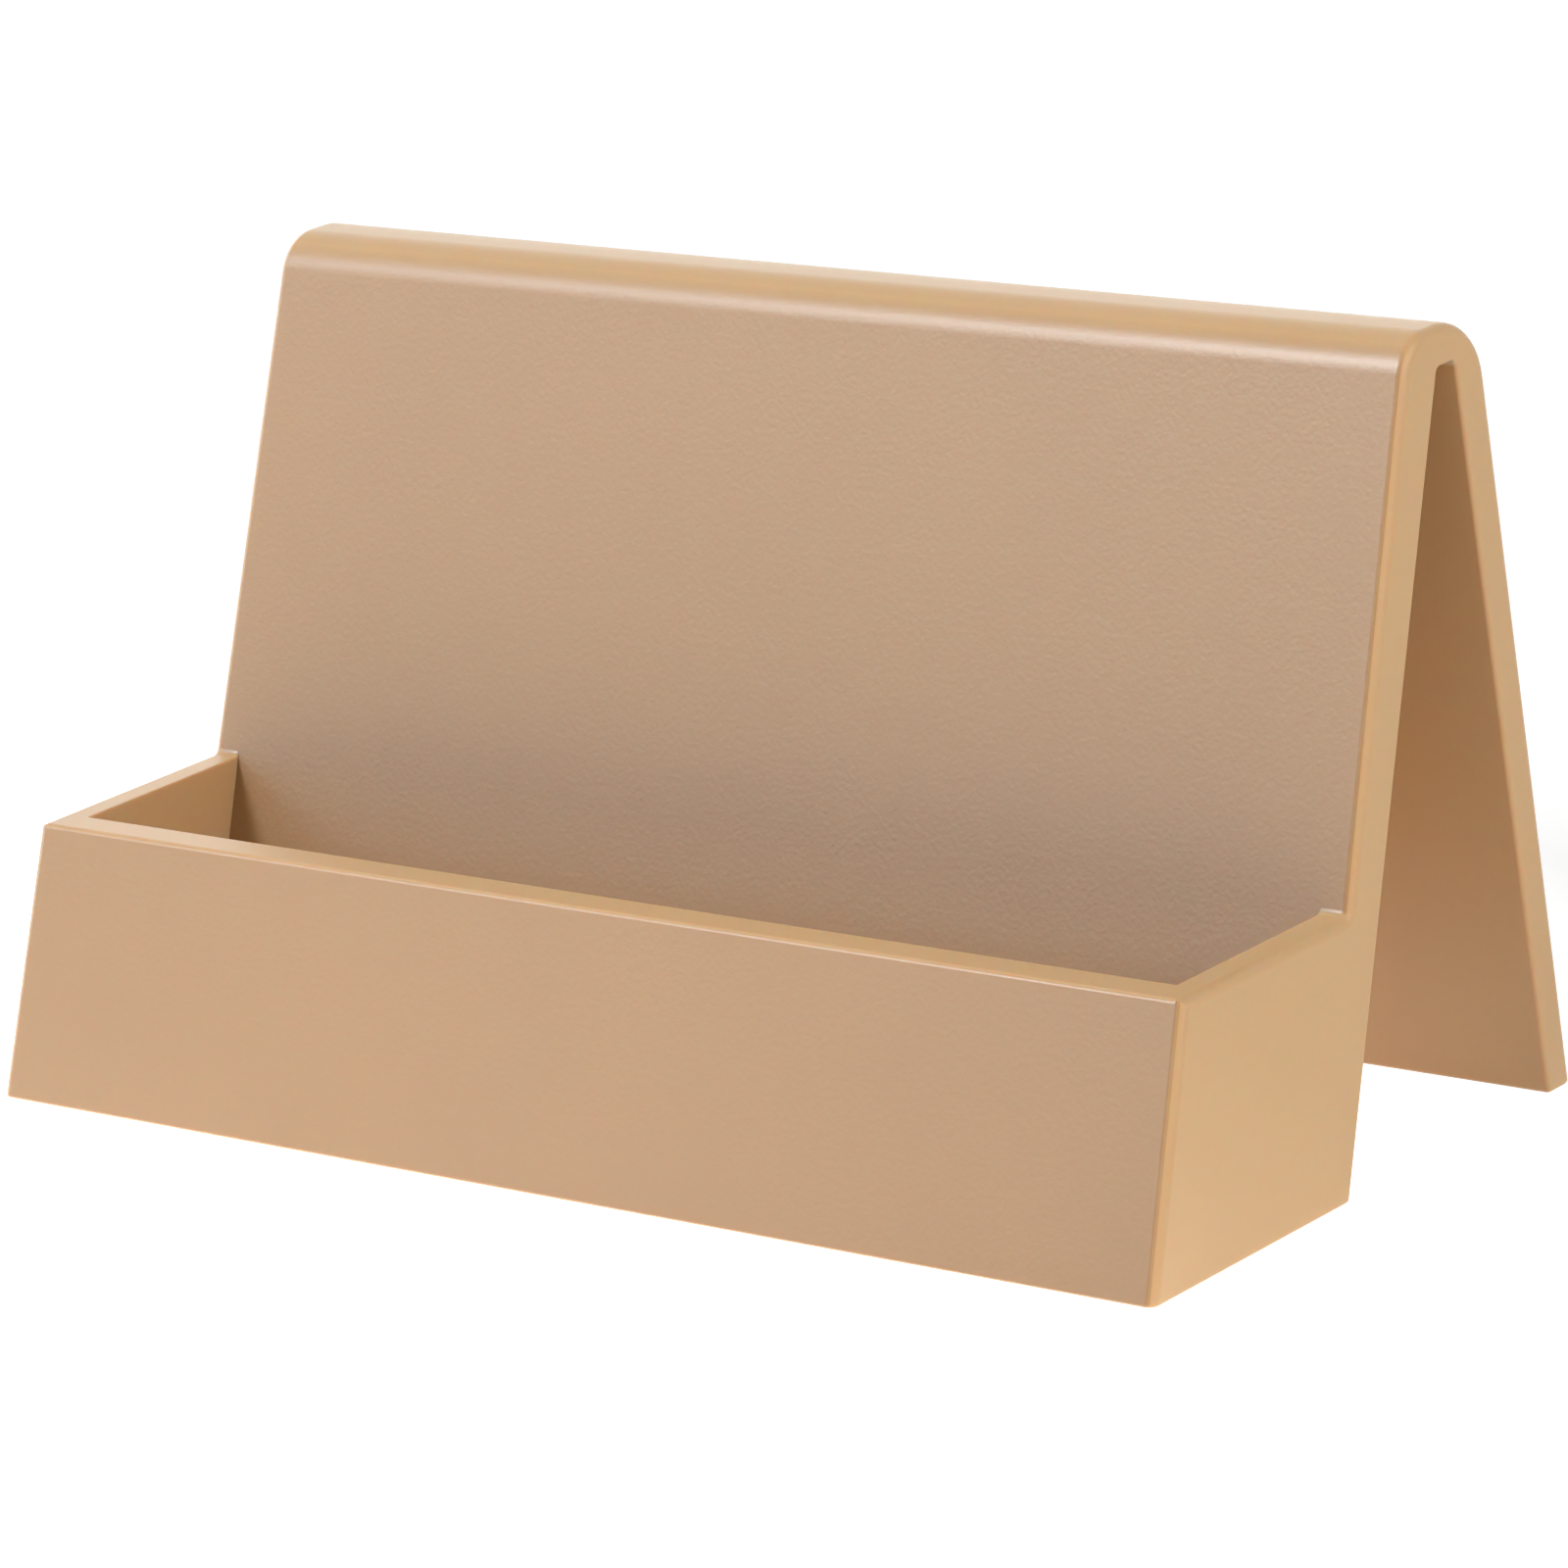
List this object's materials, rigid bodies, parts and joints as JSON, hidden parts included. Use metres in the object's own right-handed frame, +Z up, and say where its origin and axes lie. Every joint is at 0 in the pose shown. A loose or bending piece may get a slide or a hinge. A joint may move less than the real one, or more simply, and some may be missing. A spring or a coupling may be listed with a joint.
{
  "type": "business card stand",
  "caption": "Free-standing desk stand for business cards: a leaning plate that turns over at a rounded ridge into a rear leg, with an open card tray moulded along its front.",
  "frame": {"origin": "on the surface the stand rests on, under the middle of its bounding box", "axes": "+X along the width, to the right of someone who faces the cards; +Y from the card tray to the rear leg; +Z up"},
  "size_m": [0.098, 0.0464, 0.0525],
  "materials": {
    "tan_plastic": "moulded tan plastic with a fine even grain"
  },
  "bodies": {
    "root": {"front_wall": "tan_plastic", "left_end_wall": "tan_plastic", "right_end_wall": "tan_plastic", "tray_floor": "tan_plastic", "backrest": "tan_plastic", "ridge_bend": "tan_plastic", "rear_leg": "tan_plastic"}
  },
  "joints": []
}
